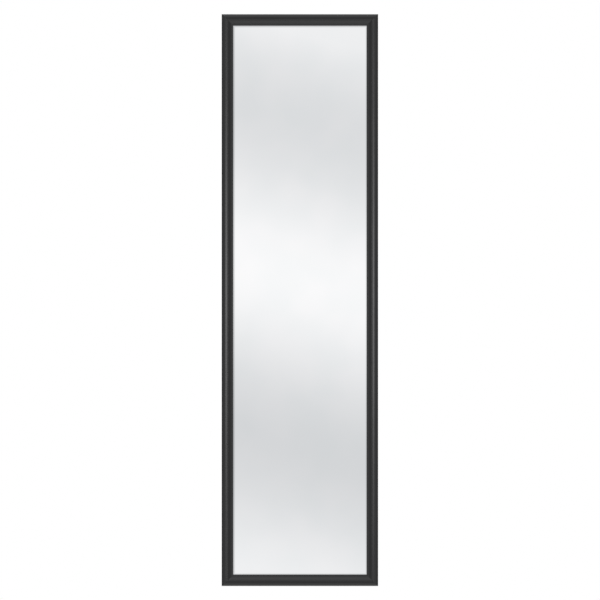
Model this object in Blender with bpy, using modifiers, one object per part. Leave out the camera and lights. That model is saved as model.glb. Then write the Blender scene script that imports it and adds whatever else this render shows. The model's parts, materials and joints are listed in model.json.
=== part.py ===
# Over-the-door mirror: a silvered glass plate in a mitred black moulding, carried by two
# slotted steel hangers that hook over the top of a door. D-rings on the stiles hang it on a wall.
#
# Lengths are in metres. The origin lies on the upper front edge of the door, midway between
# the hangers. +X is to the right of someone who faces the mirror, +Y points into the door and
# +Z is up, so the mirror hangs on the -Y side. The hangers are modelled at their lowest setting.

import math

import bmesh
import bpy
from mathutils import Euler, Matrix, Vector

# Clearances
SEAT_GAP = 0.0003  # between pieces that rest on, slide on or are driven into each other
EDGE_GAP = 0.0004  # round the glass and the backing board, inside the rabbet
CUT_MARGIN = 0.001  # how far a cutter runs past the face that it opens
WELD_DISTANCE = 0.000001
FLAT_ANGLE = math.radians(0.05)  # faces that meet at less lie in one plane
SHARP_ANGLE = math.radians(35)

# Glass plate and backing board
GLASS_WIDTH = 0.3048
GLASS_HEIGHT = 1.2192
GLASS_THICKNESS = 0.003
GLASS_SEAM = 0.0004  # chamfer ground on the edges of the plate
BACKING_THICKNESS = 0.003

# Moulding: the forms across its face, from the outer edge to the sight edge
OVOLO_WIDTH = 0.0135
OVOLO_RISE = 0.0085
NOSE_RADIUS = 0.0022  # at the crest, where the face turns down towards the glass
NOSE_TURN = 43  # degrees
SLOPE_WIDTH = 0.0075  # from the crest to the fillet
SLOPE_RISE = 0.0054
SLOPE_SAG = 0.00015
FILLET_WIDTH = 0.0044  # flat beside the glass
SIGHT_EDGE_RADIUS = 0.0009
LIP_THICKNESS = 0.0016
RABBET_WIDTH = 0.006
BACK_RECESS = 0.0026  # from the back of the moulding down to the backing points
BACK_CHAMFER = 0.0006
ARC_STEPS = 14
SHORT_ARC_STEPS = 5  # of small radii, on every piece

# V-nails that pull each mitre together, driven in from the back
NAIL_OFFSETS = {"outer": 0.005, "inner": 0.012}  # from the outer edges of the corner
NAIL_WING = 0.006
NAIL_THICKNESS = 0.0006
NAIL_HEIGHT = 0.010

# Steel points that hold the backing board in the rabbet
POINTS_PER_STILE = 5
POINTS_PER_RAIL = 2
POINT_WIDTH = 0.006
POINT_THICKNESS = 0.0005
POINT_BITE = 0.006
POINT_REACH = 0.009
POINT_TIP = 0.003

# Hangers: a strap down the back of each stile, bent over the door at the top
DOOR_THICKNESS = 0.035
DOOR_CLEARANCE = 0.001
STRAP_WIDTH = 0.016
STRAP_THICKNESS = 0.0015
HANGER_DROP = 0.0007  # top of the hanger below the top of the frame
HOOK_LIP = 0.030
FLARE_ANGLE = math.radians(28)
FLARE_RADIUS = 0.012
FLARE_LENGTH = 0.005
HEIGHT_TRAVEL = 0.075
STRAP_TAIL = 0.010  # from the lower end of the slot to the end of the strap
STRAP_END_RADIUS = 0.006
LIP_END_RADIUS = 0.004
CORNER_SHARE = 0.45  # most of a strip's width that one rounded corner takes
BEND_STEPS = 8

# Foam liner inside each hook
LINER_THICKNESS = 0.0032
LINER_WIDTH = 0.014
LINER_DROP = 0.030
LINER_LIP = 0.026
LINER_CORNER = 0.0005  # radius of its inside corners, where the edges of the door sit

# Screws that clamp the hangers, with their washers
SHANK_RADIUS = 0.0018
HEAD_RADIUS = 0.0035
HEAD_HEIGHT = 0.0018
HEAD_EDGE = 0.0007
SCREW_LENGTH = 0.012
SCREW_TIP = 0.003
SCREW_SPACING = 0.040
WASHER_RADIUS = 0.0045
WASHER_THICKNESS = 0.0007
WASHER_TO_LINER = 0.005
TURN_STEPS = 24

# D-ring hangers for a wall
RING_DROP = 0.300  # hinge of the ring below the top of the frame
RING_WIRE_RADIUS = 0.0012
RING_WIDTH = 0.016
RING_SIDE = 0.008
RING_CORNER = 0.002
RING_GAP = 0.00025
RING_STRAP_WIDTH = 0.010
RING_STRAP_SHEET = 0.0008  # the strap is folded, so its plate is two sheets thick
RING_STRAP_CORNER = 0.0025
RING_SCREW_DROP = 0.0075
RING_SCREW_HEAD = 0.003
RING_SCREW_HEAD_HEIGHT = 0.0014
RING_SCREW_SHANK = 0.0014
RING_SCREW_LENGTH = 0.010
RING_STRAP_TAIL = 0.005  # from the screw to the end of the strap

# Bumpers that keep the foot of the mirror off the door
BUMPER_RADIUS = 0.006
BUMPER_FLAT = 0.0042
BUMPER_CROWN = 0.0016
BUMPER_RAISE = 0.030  # above the bottom of the frame

# Moulding totals
MOULDING_WIDTH = OVOLO_WIDTH + SLOPE_WIDTH + FILLET_WIDTH
WALL_WIDTH = MOULDING_WIDTH - RABBET_WIDTH
RABBET_DEPTH = BACK_RECESS + POINT_THICKNESS + BACKING_THICKNESS + GLASS_THICKNESS + 3 * SEAT_GAP
MOULDING_DEPTH = RABBET_DEPTH + LIP_THICKNESS + SLOPE_RISE
FRAME_WIDTH = GLASS_WIDTH + 2 * (EDGE_GAP + WALL_WIDTH)
FRAME_HEIGHT = GLASS_HEIGHT + 2 * (EDGE_GAP + WALL_WIDTH)

# Levels, from the door outwards and from the door's top edge upwards
STRAP_OFFSET = LINER_THICKNESS + SEAT_GAP
STRAP_DOOR_SIDE = -STRAP_OFFSET
FRAME_BACK = STRAP_DOOR_SIDE - STRAP_THICKNESS - SEAT_GAP
FRAME_TOP = STRAP_OFFSET + STRAP_THICKNESS + HANGER_DROP
FRAME_BOTTOM = FRAME_TOP - FRAME_HEIGHT
FRAME_MIDDLE = (FRAME_TOP + FRAME_BOTTOM) / 2
STILE_CENTRE = FRAME_WIDTH / 2 - WALL_WIDTH / 2  # middle of a stile's flat back, from x = 0

# Hook and screw places
HOOK_GAP = DOOR_THICKNESS + DOOR_CLEARANCE
SLOT_RADIUS = SHANK_RADIUS + SEAT_GAP
UPPER_SCREW = -(LINER_DROP + WASHER_TO_LINER + WASHER_RADIUS)
LOWER_SCREW = UPPER_SCREW - SCREW_SPACING
SLOT_END = LOWER_SCREW - HEIGHT_TRAVEL
STRAP_END = SLOT_END - STRAP_TAIL
RING_HINGE = FRAME_TOP - RING_DROP

# Directions
SIDES = {"left": -1, "right": 1}
RIGHT_ANGLE = math.pi / 2
SIDE_VIEW = (RIGHT_ANGLE, 0, RIGHT_ANGLE)  # turns an outline in XY into one in YZ
BACK_VIEW = (RIGHT_ANGLE, 0, 0)  # turns an outline in XY into one in XZ
TOWARDS_DOOR = (-RIGHT_ANGLE, 0, 0)  # turns a Z axis into a Y axis
ACROSS = (0, RIGHT_ANGLE, 0)  # turns a Z axis into an X axis


# Scene and materials


def clear_scene():
    for obj in list(bpy.data.objects):
        bpy.data.objects.remove(obj)


def new_collection(name, parent=None):
    collection = bpy.data.collections.new(name)
    (parent or bpy.context.scene.collection).children.link(collection)
    return collection


def new_material(name, colour, roughness, metallic=0.0):
    material = bpy.data.materials.new(name)
    material.use_nodes = True
    shader = material.node_tree.nodes["Principled BSDF"]
    shader.inputs["Base Color"].default_value = (*colour, 1)
    shader.inputs["Roughness"].default_value = roughness
    shader.inputs["Metallic"].default_value = metallic
    return material


clear_scene()
PARTS = new_collection("over_the_door_mirror")
CUTTERS = new_collection("cutters")
FRAME_POCKETS = new_collection("frame_pockets", CUTTERS)
STRAP_SLOTS = new_collection("strap_slots", CUTTERS)
RING_STRAP_HOLES = new_collection("ring_strap_holes", CUTTERS)

BLACK_MOULDING = new_material("black_moulding", (0.008, 0.008, 0.008), 0.24)
SILVERED_GLASS = new_material("silvered_glass", (0.9, 0.91, 0.91), 0.02, 1.0)
KRAFT_BOARD = new_material("kraft_board", (0.44, 0.3, 0.15), 0.9)
ZINC_STEEL = new_material("zinc_steel", (0.62, 0.63, 0.64), 0.34, 1.0)
BARE_STEEL = new_material("bare_steel", (0.46, 0.46, 0.47), 0.45, 1.0)
GREY_FOAM = new_material("grey_foam", (0.05, 0.05, 0.053), 0.95)
CLEAR_GREY_RUBBER = new_material("clear_grey_rubber", (0.5, 0.51, 0.52), 0.5)


# Shapes


def ellipse_arc(centre, width, rise, start, end, steps=ARC_STEPS):
    """Points of an ellipse between two angles, in degrees."""
    angles = [math.radians(start + (end - start) * i / steps) for i in range(steps + 1)]
    return [(centre[0] + width * math.cos(a), centre[1] + rise * math.sin(a)) for a in angles]


def sagged_line(start, end, sag, steps=ARC_STEPS):
    """Points of a shallow arc that sags below the straight line between two points."""
    start, end = Vector(start), Vector(end)
    below = Vector((start.y - end.y, end.x - start.x)).normalized() * -sag
    shares = [i / steps for i in range(steps + 1)]
    return [tuple(start.lerp(end, s) + below * 4 * s * (1 - s)) for s in shares]


def turned_by(vector, angle):
    """A flat vector turned to the right."""
    return Matrix.Rotation(-angle, 2) @ vector


def offset_path(start, moves, distance):
    """Points along a path of runs and bends that begins upwards, shifted to its left.

    A move is (length, 0) for a run, or (radius, angle) for a bend, where a positive angle
    turns right and the radius is that of the path itself.
    """
    spot, heading = Vector(start), Vector((0, 1))
    points = [spot + Vector((-heading.y, heading.x)) * distance]
    for size, angle in moves:
        if angle == 0:
            spot = spot + heading * size
            points.append(spot + Vector((-heading.y, heading.x)) * distance)
            continue
        centre = spot + Vector((heading.y, -heading.x)) * math.copysign(size, angle)
        arm = spot - centre
        reach = size + math.copysign(distance, angle)
        for i in range(1, BEND_STEPS + 1):
            points.append(centre + turned_by(arm.normalized(), angle * i / BEND_STEPS) * reach)
        spot = centre + turned_by(arm, angle)
        heading = turned_by(heading, angle)
    return [tuple(p) for p in points]


def as_mesh(source):
    """The closed mesh of a filled curve or a turned profile, in an object that takes its place."""
    bpy.context.scene.collection.objects.link(source)
    graph = bpy.context.evaluated_depsgraph_get()
    mesh = bpy.data.meshes.new_from_object(source.evaluated_get(graph))
    edit = bmesh.new()
    edit.from_mesh(mesh)
    bmesh.ops.remove_doubles(edit, verts=edit.verts, dist=WELD_DISTANCE)
    bmesh.ops.dissolve_limit(edit, angle_limit=FLAT_ANGLE, verts=edit.verts, edges=edit.edges)
    bmesh.ops.recalc_face_normals(edit, faces=edit.faces)
    edit.to_mesh(mesh)
    edit.free()
    name = source.name
    bpy.data.objects.remove(source)
    return bpy.data.objects.new(name, mesh)


def shade(mesh):
    """Smooth over its round stretches, crisp at its edges."""
    mesh.shade_smooth()
    mesh.set_sharp_from_angle(angle=SHARP_ANGLE)


def prism(name, outline, thickness):
    """A flat outline given a thickness, half of it on each side of its plane."""
    curve = bpy.data.curves.new(name, "CURVE")
    curve.dimensions = "2D"
    curve.fill_mode = "BOTH"
    curve.extrude = thickness / 2
    spline = curve.splines.new("POLY")
    spline.points.add(len(outline) - 1)
    for point, (x, y) in zip(spline.points, outline):
        point.co = (x, y, 0, 1)
    spline.use_cyclic_u = True
    return as_mesh(bpy.data.objects.new(name, curve))


def turned(name, profile, closed=False):
    """A profile of (radius, height) points turned about Z. It runs down its outer side."""
    mesh = bpy.data.meshes.new(name)
    edges = [(i, i + 1) for i in range(len(profile) - 1)]
    if closed:
        edges.append((len(profile) - 1, 0))
    mesh.from_pydata([(radius, 0, height) for radius, height in profile], edges, [])
    solid = bpy.data.objects.new(name, mesh)
    lathe = solid.modifiers.new("turn", "SCREW")
    lathe.steps = TURN_STEPS
    lathe.render_steps = TURN_STEPS
    lathe.use_merge_vertices = True
    lathe.merge_threshold = WELD_DISTANCE
    return as_mesh(solid)


def box(name, size):
    """A box primitive of that size about its own centre."""
    bpy.ops.mesh.primitive_cube_add(size=1)
    solid = bpy.context.object
    solid.name = name
    solid.data.transform(Matrix.Diagonal((*size, 1)))
    for collection in list(solid.users_collection):
        collection.objects.unlink(solid)
    return solid


def rod(name, radius, length):
    """A cylinder primitive along Z about its own centre."""
    bpy.ops.mesh.primitive_cylinder_add(vertices=TURN_STEPS, radius=radius, depth=length)
    solid = bpy.context.object
    solid.name = name
    for collection in list(solid.users_collection):
        collection.objects.unlink(solid)
    return solid


def round_end(solid, end, radius):
    """Rounds the two corners of a strip whose outline ends in the line between two points."""
    edit = bmesh.new()
    edit.from_mesh(solid.data)
    corners = [
        edge
        for edge in edit.edges
        if all(min((v.co.xy - Vector(p)).length for p in end) < WELD_DISTANCE for v in edge.verts)
        and (edge.verts[0].co.xy - edge.verts[1].co.xy).length > WELD_DISTANCE
    ]
    bmesh.ops.bevel(
        edit, geom=corners, offset=radius, segments=BEND_STEPS, profile=0.5, affect="EDGES"
    )
    edit.to_mesh(solid.data)
    edit.free()


# Placing


def place(obj, material, location=(0, 0, 0), rotation=(0, 0, 0), parent=None):
    """Adds a piece to the model, in the frame of its parent."""
    PARTS.objects.link(obj)
    obj.data.materials.append(material)
    if obj.type == "MESH":
        shade(obj.data)
    obj.location = location
    obj.rotation_euler = rotation
    obj.parent = parent
    return obj


def cutter(obj, collection, location, rotation=(0, 0, 0), parent=None):
    """Adds a shape that is taken out of the pieces which use its collection."""
    collection.objects.link(obj)
    obj.location = location
    obj.rotation_euler = rotation
    obj.parent = parent
    obj.hide_render = True
    obj.display_type = "WIRE"
    return obj


def cut_with(obj, collection):
    cut = obj.modifiers.new("cut", "BOOLEAN")
    cut.operand_type = "COLLECTION"
    cut.collection = collection
    cut.solver = "EXACT"


def anchor(name, location, rotation=(0, 0, 0)):
    """An empty that carries the pieces built about one place."""
    empty = bpy.data.objects.new(name, None)
    PARTS.objects.link(empty)
    empty.location = location
    empty.rotation_euler = rotation
    empty.empty_display_size = 0.02
    return empty


# Frame: four lengths of moulding, mitred at the corners


def moulding_outline():
    """Section of the moulding, as (-height above its back, -distance from its outer edge)."""
    foot = OVOLO_WIDTH + SLOPE_WIDTH
    lip = RABBET_DEPTH + LIP_THICKNESS
    ovolo_centre = (OVOLO_WIDTH, MOULDING_DEPTH - OVOLO_RISE)
    nose_centre = (OVOLO_WIDTH, MOULDING_DEPTH - NOSE_RADIUS)
    edge_centre = (MOULDING_WIDTH - SIGHT_EDGE_RADIUS, lip - SIGHT_EDGE_RADIUS)
    nose = ellipse_arc(nose_centre, NOSE_RADIUS, NOSE_RADIUS, 90, 90 - NOSE_TURN, SHORT_ARC_STEPS)
    section = [(BACK_CHAMFER, 0), (0, BACK_CHAMFER)]
    section += ellipse_arc(ovolo_centre, OVOLO_WIDTH, OVOLO_RISE, 180, 90, 2 * ARC_STEPS)
    section += nose[1:]
    section += sagged_line(nose[-1], (foot, lip), SLOPE_SAG)[1:]
    section += ellipse_arc(edge_centre, SIGHT_EDGE_RADIUS, SIGHT_EDGE_RADIUS, 90, 0, SHORT_ARC_STEPS)
    section += [(MOULDING_WIDTH, RABBET_DEPTH), (WALL_WIDTH, RABBET_DEPTH), (WALL_WIDTH, 0)]
    return [(-height, -across) for across, height in section]


def mitred_length(name, length):
    """A length of moulding along X, cut at 45 degrees at both ends. Its outer edge is on z = 0."""
    solid = prism(name, moulding_outline(), length)
    solid.data.transform(Euler(SIDE_VIEW).to_matrix().to_4x4())
    edit = bmesh.new()
    edit.from_mesh(solid.data)
    for end in (-1, 1):
        bmesh.ops.bisect_plane(
            edit,
            geom=edit.verts[:] + edit.edges[:] + edit.faces[:],
            dist=WELD_DISTANCE / 10,
            plane_co=(end * (length / 2 - SEAT_GAP * math.sqrt(0.5)), 0, 0),
            plane_no=(end, 0, -1),
            clear_outer=True,
        )
        bmesh.ops.holes_fill(edit, edges=[edge for edge in edit.edges if edge.is_boundary])
    bmesh.ops.recalc_face_normals(edit, faces=edit.faces)
    edit.to_mesh(solid.data)
    edit.free()
    return solid


def point_outline(grow=0.0):
    """A backing point, with its tip in the moulding on +Y and the rabbet wall on y = 0."""
    half = POINT_WIDTH / 2 + grow
    shoulder = POINT_BITE - POINT_TIP
    tip = [(-half, shoulder), (0, POINT_BITE + 2 * grow), (half, shoulder)]
    return tip + [(half, -POINT_REACH), (-half, -POINT_REACH)]


def add_side(name, points, length, angle, location):
    """One side of the frame, with the points driven into its rabbet wall."""
    side = anchor(name + "_edge", location, (0, angle, 0))
    rail = place(mitred_length(name, length), BLACK_MOULDING, parent=side)
    level = -(BACK_RECESS + POINT_THICKNESS / 2)
    sight = length - 2 * MOULDING_WIDTH
    for i in range(points):
        along = sight * ((i + 0.5) / points - 0.5)
        spot = (along, level, -WALL_WIDTH)
        label = f"{name.split('_')[0]}_{i + 1}"
        point = prism("backing_point_" + label, point_outline(), POINT_THICKNESS)
        place(point, BARE_STEEL, spot, BACK_VIEW, side)
        pocket_height = POINT_THICKNESS + 2 * SEAT_GAP
        pocket = prism("point_pocket_" + label, point_outline(SEAT_GAP), pocket_height)
        cutter(pocket, FRAME_POCKETS, spot, BACK_VIEW, side)
    return rail


def nail_outline(x_side, z_side, grow=0.0):
    """A V-nail from the back: two wings from its apex, one along each side of the corner."""
    inner = NAIL_THICKNESS + grow
    tip = NAIL_WING + grow
    angle = [(-grow, -grow), (tip, -grow), (tip, inner), (inner, inner), (inner, tip), (-grow, tip)]
    return [(-x_side * x, -z_side * z) for x, z in angle]


def add_corner(x_name, x_side, z_name, z_side):
    """The V-nails of one mitre, sunk into the back of the moulding."""
    for row, offset in NAIL_OFFSETS.items():
        label = f"{z_name}_{x_name}_{row}"
        x = x_side * (FRAME_WIDTH / 2 - offset)
        z = FRAME_MIDDLE + z_side * (FRAME_HEIGHT / 2 - offset)
        nail = prism("v_nail_" + label, nail_outline(x_side, z_side), NAIL_HEIGHT)
        place(nail, BARE_STEEL, (x, FRAME_BACK - SEAT_GAP - NAIL_HEIGHT / 2, z), BACK_VIEW)
        depth = NAIL_HEIGHT + 2 * SEAT_GAP + CUT_MARGIN
        pocket = prism("nail_pocket_" + label, nail_outline(x_side, z_side, SEAT_GAP), depth)
        cutter(pocket, FRAME_POCKETS, (x, FRAME_BACK + CUT_MARGIN - depth / 2, z), BACK_VIEW)


def add_plates():
    """The glass plate against the rabbet's shoulder and the board behind it."""
    glass = box("mirror_glass", (GLASS_WIDTH, GLASS_THICKNESS, GLASS_HEIGHT))
    seam = glass.modifiers.new("seam", "BEVEL")
    seam.width = GLASS_SEAM
    seam.segments = 1
    seam.limit_method = "NONE"
    glass_level = RABBET_DEPTH - SEAT_GAP - GLASS_THICKNESS / 2
    place(glass, SILVERED_GLASS, (0, FRAME_BACK - glass_level, FRAME_MIDDLE))
    board = box("backing_board", (GLASS_WIDTH, BACKING_THICKNESS, GLASS_HEIGHT))
    board_level = BACK_RECESS + POINT_THICKNESS + SEAT_GAP + BACKING_THICKNESS / 2
    place(board, KRAFT_BOARD, (0, FRAME_BACK - board_level, FRAME_MIDDLE))


# Hangers


def screw_profile(head, height, edge, shank, length, tip):
    """A pan-head screw with the underside of its head on z = 0 and its point below."""
    crown = ellipse_arc((head - edge, height - edge), edge, edge, 90, 0, SHORT_ARC_STEPS)
    return [(0, height)] + crown + [(head, 0), (shank, 0), (shank, tip - length), (0, -length)]


def add_screw(name, profile, seat, parent):
    """A screw whose head seats at a place in its parent's frame, and the hole for it in the stile."""
    place(turned(name, profile), ZINC_STEEL, seat, TOWARDS_DOOR, parent)
    shank, length = profile[-2][0], -profile[-1][1]
    hole = rod(name + "_hole", shank + SEAT_GAP, length + SEAT_GAP)
    middle = Vector(seat) + Vector((0, -(length + SEAT_GAP) / 2, 0))
    cutter(hole, FRAME_POCKETS, middle, TOWARDS_DOOR, parent)


def slot_outline():
    """The slot of a hanger from the back, round at both ends."""
    top = ellipse_arc((0, UPPER_SCREW), SLOT_RADIUS, SLOT_RADIUS, 0, 180)
    bottom = ellipse_arc((0, SLOT_END), SLOT_RADIUS, SLOT_RADIUS, 180, 360)
    return top + bottom


def add_hanger(side, x_side):
    """A hanger with its liner, and the two screws and washers that clamp it to the stile."""
    bend = (LINER_CORNER, RIGHT_ANGLE)
    hook = [bend, (HOOK_GAP - 2 * LINER_CORNER, 0), bend]
    flare = [(HOOK_LIP - LINER_CORNER, 0), (FLARE_RADIUS, -FLARE_ANGLE), (FLARE_LENGTH, 0)]
    seat = anchor(side + "_hanger_seat", (x_side * STILE_CENTRE, 0, 0))

    start = (0, STRAP_END)
    moves = [(-STRAP_END - LINER_CORNER, 0)] + hook + flare
    near = offset_path(start, moves, STRAP_OFFSET)
    far = offset_path(start, moves, STRAP_OFFSET + STRAP_THICKNESS)
    strap = prism(side + "_hanger", near + far[::-1], STRAP_WIDTH)
    widest = CORNER_SHARE * STRAP_WIDTH
    round_end(strap, (near[0], far[0]), min(STRAP_END_RADIUS, widest))
    lip_corner = min(LIP_END_RADIUS, widest, 2 * CORNER_SHARE * FLARE_LENGTH)
    round_end(strap, (near[-1], far[-1]), lip_corner)
    place(strap, ZINC_STEEL, (0, 0, 0), SIDE_VIEW, seat)
    slot = prism(side + "_slot", slot_outline(), STRAP_THICKNESS + 2 * CUT_MARGIN)
    cutter(slot, STRAP_SLOTS, (0, STRAP_DOOR_SIDE - STRAP_THICKNESS / 2, 0), BACK_VIEW, seat)

    start = (0, -LINER_DROP)
    moves = [(LINER_DROP - LINER_CORNER, 0)] + hook + [(LINER_LIP - LINER_CORNER, 0)]
    near = offset_path(start, moves, 0)
    far = offset_path(start, moves, LINER_THICKNESS)
    liner = prism(side + "_hook_liner", near + far[::-1], LINER_WIDTH)
    place(liner, GREY_FOAM, (0, 0, 0), SIDE_VIEW, seat)

    washer_level = STRAP_DOOR_SIDE + SEAT_GAP
    head_level = washer_level + WASHER_THICKNESS + SEAT_GAP
    screw = screw_profile(HEAD_RADIUS, HEAD_HEIGHT, HEAD_EDGE, SHANK_RADIUS, SCREW_LENGTH, SCREW_TIP)
    hole = SHANK_RADIUS + SEAT_GAP
    rim = [(hole, WASHER_THICKNESS), (WASHER_RADIUS, WASHER_THICKNESS), (WASHER_RADIUS, 0), (hole, 0)]
    for row, z in (("upper", UPPER_SCREW), ("lower", LOWER_SCREW)):
        add_screw(f"{side}_hanger_screw_{row}", screw, (0, head_level, z), seat)
        washer = turned(f"{side}_hanger_washer_{row}", rim, closed=True)
        place(washer, ZINC_STEEL, (0, washer_level, z), TOWARDS_DOOR, seat)
    return strap


# D-rings


def ring_path():
    """Middle line of a D-ring that hangs from its bar, which lies along X through the hinge."""
    half = RING_WIDTH / 2
    corner, steps = RING_CORNER, SHORT_ARC_STEPS
    right = ellipse_arc((half - corner, -corner), corner, corner, 90, 0, steps)
    bow = ellipse_arc((0, -RING_SIDE), half, half, 0, -180, 2 * ARC_STEPS)
    left = ellipse_arc((corner - half, -corner), corner, corner, 180, 90, steps)
    return right + bow + left


def add_ring(side, x_side):
    """A D-ring on its folded strap, screwed to the back of the stile."""
    eye = RING_WIRE_RADIUS + RING_GAP
    outside = eye + RING_STRAP_SHEET
    plate = 2 * RING_STRAP_SHEET - outside
    hinge_level = FRAME_BACK + SEAT_GAP + outside
    hinge = anchor(side + "_ring_hinge", (x_side * STILE_CENTRE, hinge_level, RING_HINGE))

    curve = bpy.data.curves.new(side + "_d_ring", "CURVE")
    curve.dimensions = "3D"
    curve.fill_mode = "FULL"
    curve.bevel_depth = RING_WIRE_RADIUS
    curve.bevel_resolution = 4
    spline = curve.splines.new("POLY")
    path = ring_path()
    spline.points.add(len(path) - 1)
    for point, (x, z) in zip(spline.points, path):
        point.co = (x, 0, z, 1)
    spline.use_cyclic_u = True
    place(bpy.data.objects.new(side + "_d_ring", curve), ZINC_STEEL, parent=hinge)

    end = -(RING_SCREW_DROP + RING_STRAP_TAIL)
    close = -math.degrees(math.acos(plate / outside))
    fold = ellipse_arc((0, 0), outside, outside, 180, close, 2 * ARC_STEPS)
    strap = prism(side + "_ring_strap", [(-outside, end)] + fold + [(plate, end)], RING_STRAP_WIDTH)
    corner = min(RING_STRAP_CORNER, CORNER_SHARE * RING_STRAP_WIDTH)
    round_end(strap, ((-outside, end), (plate, end)), corner)
    place(strap, ZINC_STEEL, (0, 0, 0), SIDE_VIEW, hinge)
    through = RING_STRAP_WIDTH + 2 * CUT_MARGIN
    bore = rod(side + "_ring_eye", eye, through)
    cutter(bore, RING_STRAP_HOLES, (0, 0, 0), ACROSS, hinge)
    through = 2 * RING_STRAP_SHEET + 2 * CUT_MARGIN
    hole = rod(side + "_ring_strap_hole", RING_SCREW_SHANK + SEAT_GAP, through)
    spot = (0, plate - RING_STRAP_SHEET, -RING_SCREW_DROP)
    cutter(hole, RING_STRAP_HOLES, spot, TOWARDS_DOOR, hinge)

    screw = screw_profile(
        RING_SCREW_HEAD, RING_SCREW_HEAD_HEIGHT, HEAD_EDGE, RING_SCREW_SHANK, RING_SCREW_LENGTH, SCREW_TIP
    )
    add_screw(side + "_ring_screw", screw, (0, plate + SEAT_GAP, -RING_SCREW_DROP), hinge)
    return strap


# Bumpers


def add_bumper(side, x_side):
    """A soft stud on the stile's back that reaches the door."""
    base = FRAME_BACK + SEAT_GAP
    crown_centre = (BUMPER_FLAT, -base - BUMPER_CROWN)
    wide = BUMPER_RADIUS - BUMPER_FLAT
    crown = ellipse_arc(crown_centre, wide, BUMPER_CROWN, 90, 0, SHORT_ARC_STEPS)
    stud = turned(side + "_bumper", [(0, -base)] + crown + [(BUMPER_RADIUS, 0), (0, 0)])
    z = FRAME_BOTTOM + BUMPER_RAISE
    place(stud, CLEAR_GREY_RUBBER, (x_side * STILE_CENTRE, base, z), TOWARDS_DOOR)


# The whole mirror

TOP_EDGE = (0, FRAME_BACK, FRAME_TOP)
BOTTOM_EDGE = (0, FRAME_BACK, FRAME_BOTTOM)
LEFT_EDGE = (-FRAME_WIDTH / 2, FRAME_BACK, FRAME_MIDDLE)
RIGHT_EDGE = (FRAME_WIDTH / 2, FRAME_BACK, FRAME_MIDDLE)

rails = [
    add_side("top_rail", POINTS_PER_RAIL, FRAME_WIDTH, 0, TOP_EDGE),
    add_side("bottom_rail", POINTS_PER_RAIL, FRAME_WIDTH, 2 * RIGHT_ANGLE, BOTTOM_EDGE),
    add_side("left_stile", POINTS_PER_STILE, FRAME_HEIGHT, -RIGHT_ANGLE, LEFT_EDGE),
    add_side("right_stile", POINTS_PER_STILE, FRAME_HEIGHT, RIGHT_ANGLE, RIGHT_EDGE),
]
for z_name, z_side in (("top", 1), ("bottom", -1)):
    for x_name, x_side in SIDES.items():
        add_corner(x_name, x_side, z_name, z_side)
add_plates()
hangers = [add_hanger(side, x_side) for side, x_side in SIDES.items()]
ring_straps = [add_ring(side, x_side) for side, x_side in SIDES.items()]
for side, x_side in SIDES.items():
    add_bumper(side, x_side)
for pieces, cutters in ((rails, FRAME_POCKETS), (hangers, STRAP_SLOTS), (ring_straps, RING_STRAP_HOLES)):
    for piece in pieces:
        cut_with(piece, cutters)
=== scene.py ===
# Over-the-door mirror, dressed for its photograph. Metres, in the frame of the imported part:
# x runs to the right of someone who faces the mirror, y into the door and z up from its top edge.
import json
import math

import bpy
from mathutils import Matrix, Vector


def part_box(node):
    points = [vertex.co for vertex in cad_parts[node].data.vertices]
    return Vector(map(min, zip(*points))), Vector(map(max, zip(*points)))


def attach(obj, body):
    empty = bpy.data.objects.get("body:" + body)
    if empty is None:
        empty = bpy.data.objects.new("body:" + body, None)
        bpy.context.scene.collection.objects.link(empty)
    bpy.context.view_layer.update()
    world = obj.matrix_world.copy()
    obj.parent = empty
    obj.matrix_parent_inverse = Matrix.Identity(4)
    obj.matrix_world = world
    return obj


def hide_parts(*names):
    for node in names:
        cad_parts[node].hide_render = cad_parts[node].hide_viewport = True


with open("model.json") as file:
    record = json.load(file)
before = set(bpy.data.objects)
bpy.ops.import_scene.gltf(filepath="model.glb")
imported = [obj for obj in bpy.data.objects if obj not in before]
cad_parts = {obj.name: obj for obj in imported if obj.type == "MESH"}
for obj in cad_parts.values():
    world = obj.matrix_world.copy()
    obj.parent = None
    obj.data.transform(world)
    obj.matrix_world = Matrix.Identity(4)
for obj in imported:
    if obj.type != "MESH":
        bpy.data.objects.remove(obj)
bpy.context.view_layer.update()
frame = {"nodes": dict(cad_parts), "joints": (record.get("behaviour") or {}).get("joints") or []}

mm = 0.001
weldDistance = 0.001 * mm
easedAngle = 40  # degrees: an edge that turns by more than this is eased
cornerSteps = 10  # faces round the corner of a strip
quarterTurn = math.pi / 2
towardsDoor = -quarterTurn  # a turn about x that lays the z axis along y
sides = ("left", "right")


# Bench work: selecting, tracing, finishing

def freshStart():
    # out of edit mode with nothing selected, so the next tool meets the new piece alone
    if bpy.context.object is not None and bpy.context.object.mode != "OBJECT":
        bpy.ops.object.mode_set(mode="OBJECT")
    bpy.ops.object.select_all(action="DESELECT")


def takeUp(piece):
    freshStart()
    piece.select_set(True)
    bpy.context.view_layer.objects.active = piece


def startPiece(name):
    # the primitive just added gets its name, and its place goes into its mesh
    piece = bpy.context.object
    piece.name = name
    bpy.ops.object.transform_apply(location=True, rotation=True, scale=True)
    return piece


def pick(piece, kind, test):
    # selects points, edges or faces by place or normal, and stays in edit mode
    bpy.ops.object.mode_set(mode="EDIT")
    bpy.ops.mesh.select_mode(type=kind)
    bpy.ops.mesh.select_all(action="DESELECT")
    bpy.ops.object.mode_set(mode="OBJECT")
    points = piece.data.vertices
    if kind == "VERT":
        for point in points:
            point.select = test(point.co)
    elif kind == "EDGE":
        for edge in piece.data.edges:
            edge.select = test(points[edge.vertices[0]].co, points[edge.vertices[1]].co)
    else:
        for face in piece.data.polygons:
            face.select = test(face.center, face.normal)
    bpy.ops.object.mode_set(mode="EDIT")


def extrude(*distance):
    bpy.ops.mesh.extrude_region_move(TRANSFORM_OT_translate={"value": distance})


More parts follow.
